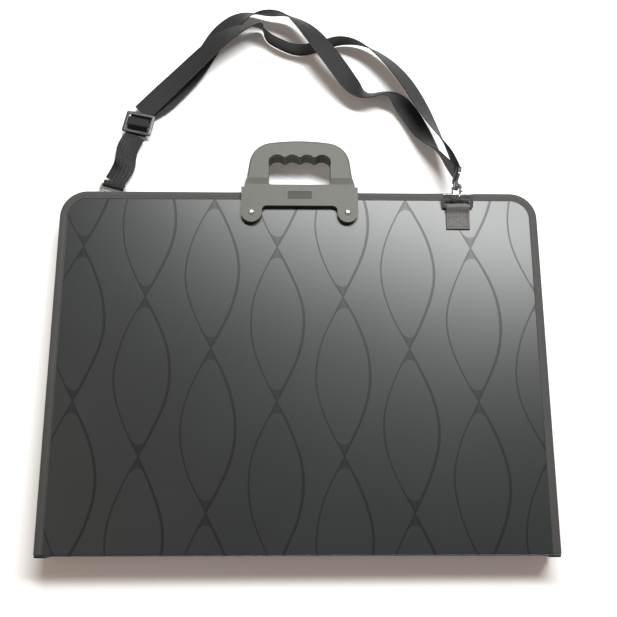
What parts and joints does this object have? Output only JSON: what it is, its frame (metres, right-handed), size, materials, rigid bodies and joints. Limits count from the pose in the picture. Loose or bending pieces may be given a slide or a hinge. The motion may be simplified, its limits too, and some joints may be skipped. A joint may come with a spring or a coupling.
{
  "type": "portfolio case",
  "caption": "Zipped portfolio case with paired carrying handles, a fold-flat spine, bound edges, webbing tabs with rings, and a detachable shoulder strap on snap hooks.",
  "frame": {"origin": "centre of the case's width and of its height with the handles, on the plane that the case lies on when it lies on its back", "axes": "+X to the right seen from the front, +Y towards the handles, +Z out of the front panel"},
  "size_m": [0.65, 0.7884, 0.0671],
  "materials": {
    "sheet": "glossy embossed polypropylene sheet",
    "binding": "stitched polyester tape",
    "zip_tape": "woven",
    "zip_teeth": "nylon coil",
    "zip_metal": "dark enamel",
    "handle": "satin",
    "rivet": "polished",
    "ring_metal": "polished nickel",
    "hook_metal": "polished nickel",
    "adjuster": "black enamel",
    "webbing": "woven polypropylene webbing"
  },
  "bodies": {
    "back_shell": {"back_panel": "sheet", "back_binding": "binding", "back_zip_tape": "zip_tape", "back_zip_coil": "zip_teeth", "back_zip_stops": "zip_metal", "back_handle": "handle", "back_handle_rivets": "rivet", "back_handle_washers": "rivet", "back_tab": "webbing", "strap_outer": "webbing", "strap_inner": "webbing", "strap_short": "webbing", "strap_weave": "webbing", "strap_sewn_loop": "webbing"},
    "spine": {"spine_panel": "sheet", "spine_bindings": "binding"},
    "front_shell": {"front_panel": "sheet", "front_binding": "binding", "front_zip_tape": "zip_tape", "front_zip_coil": "zip_teeth", "front_zip_stops": "zip_metal", "front_handle": "handle", "front_handle_rivets": "rivet", "front_handle_washers": "rivet", "front_tab": "webbing"},
    "front_ring": {"front_ring": "ring_metal"},
    "back_ring": {"back_ring": "ring_metal"},
    "left_slider": {"left_zip_slider": "zip_metal"},
    "right_slider": {"right_zip_slider": "zip_metal"},
    "left_pull": {"left_zip_pull": "zip_metal"},
    "right_pull": {"right_zip_pull": "zip_metal"},
    "left_claw": {"left_hook_claw": "hook_metal"},
    "right_claw": {"right_hook_claw": "hook_metal"},
    "left_gate": {"left_hook_gate": "hook_metal"},
    "right_gate": {"right_hook_gate": "hook_metal"},
    "left_eye": {"left_hook_eye": "hook_metal", "strap_left_turn": "webbing"},
    "right_eye": {"right_hook_eye": "hook_metal", "strap_right_turn": "webbing"},
    "adjuster": {"strap_adjuster": "adjuster"}
  },
  "joints": [
    {"name": "spine_fold", "type": "hinge", "parent": "back_shell", "child": "spine", "pos_m": [0, -0.2741, 0.0112], "axis": [1, 0, 0], "range_deg": [0, 90]},
    {"name": "front_fold", "type": "hinge", "parent": "spine", "child": "front_shell", "pos_m": [0, -0.2741, 0.0454], "axis": [1, 0, 0], "range_deg": [0, 90]},
    {"name": "left_slider_travel", "type": "slide", "parent": "back_shell", "child": "left_slider", "axis": [1, 0, 0], "range_m": [-0.14, 0]},
    {"name": "right_slider_travel", "type": "slide", "parent": "back_shell", "child": "right_slider", "axis": [1, 0, 0], "range_m": [0, 0.4]},
    {"name": "left_pull_hinge", "type": "hinge", "parent": "left_slider", "child": "left_pull", "pos_m": [-0.136, 0.2032, 0.0283], "axis": [0, 0, -1], "range_deg": [-5, 75]},
    {"name": "right_pull_hinge", "type": "hinge", "parent": "right_slider", "child": "right_pull", "pos_m": [-0.122, 0.2032, 0.0283], "axis": [0, 0, 1], "range_deg": [-5, 75]},
    {"name": "front_ring_hinge", "type": "hinge", "parent": "front_shell", "child": "front_ring", "pos_m": [0.216, 0.1815, 0.05025], "axis": [1, 0, 0], "range_deg": [0, 60]},
    {"name": "back_ring_hinge", "type": "hinge", "parent": "back_shell", "child": "back_ring", "pos_m": [-0.27, 0.1815, 0.00635], "axis": [-1, 0, 0], "range_deg": [0, 60]},
    {"name": "right_hook_swing", "type": "hinge", "parent": "back_shell", "child": "right_eye", "pos_m": [0.216, 0.1815, 0.05025], "axis": [1, 0, 0], "range_deg": [0, 60], "deforming": ["strap_outer", "strap_inner"]},
    {"name": "left_hook_swing", "type": "hinge", "parent": "back_shell", "child": "left_eye", "pos_m": [-0.27, 0.1815, 0.00635], "axis": [-1, 0, 0], "range_deg": [0, 60], "deforming": ["strap_short"]},
    {"name": "right_hook_swivel", "type": "hinge", "parent": "right_eye", "child": "right_claw", "pos_m": [0.21543, 0.2122, 0.05159], "axis": [0.1301, 0.951, -0.2803], "range_deg": [-15, 0]},
    {"name": "left_hook_swivel", "type": "hinge", "parent": "left_eye", "child": "left_claw", "pos_m": [-0.26884, 0.21139, 0.00501], "axis": [0.2599, 0.9656, 0], "range_deg": [-3, 3]},
    {"name": "right_gate_hinge", "type": "hinge", "parent": "right_claw", "child": "right_gate", "pos_m": [0.21913, 0.20637, 0.05777], "axis": [0.6737, -0.2922, -0.6788], "range_deg": [0, 18], "stiffness_Nm_per_rad": 0.02, "springref_deg": -28.65},
    {"name": "left_gate_hinge", "type": "hinge", "parent": "left_claw", "child": "left_gate", "pos_m": [-0.26511, 0.20334, 0.00231], "axis": [-0.4142, 0.1115, -0.9033], "range_deg": [0, 10], "stiffness_Nm_per_rad": 0.02, "springref_deg": -28.65},
    {"name": "adjuster_slide", "type": "slide", "parent": "back_shell", "child": "adjuster", "axis": [0.2079, 0.9781, 0], "range_m": [-0.02, 0.02], "deforming": ["strap_weave", "strap_sewn_loop"]}
  ],
  "couplings": [
    {"joint": "front_ring_hinge", "follows": "right_hook_swing", "ratio": 1},
    {"joint": "back_ring_hinge", "follows": "left_hook_swing", "ratio": 1}
  ]
}
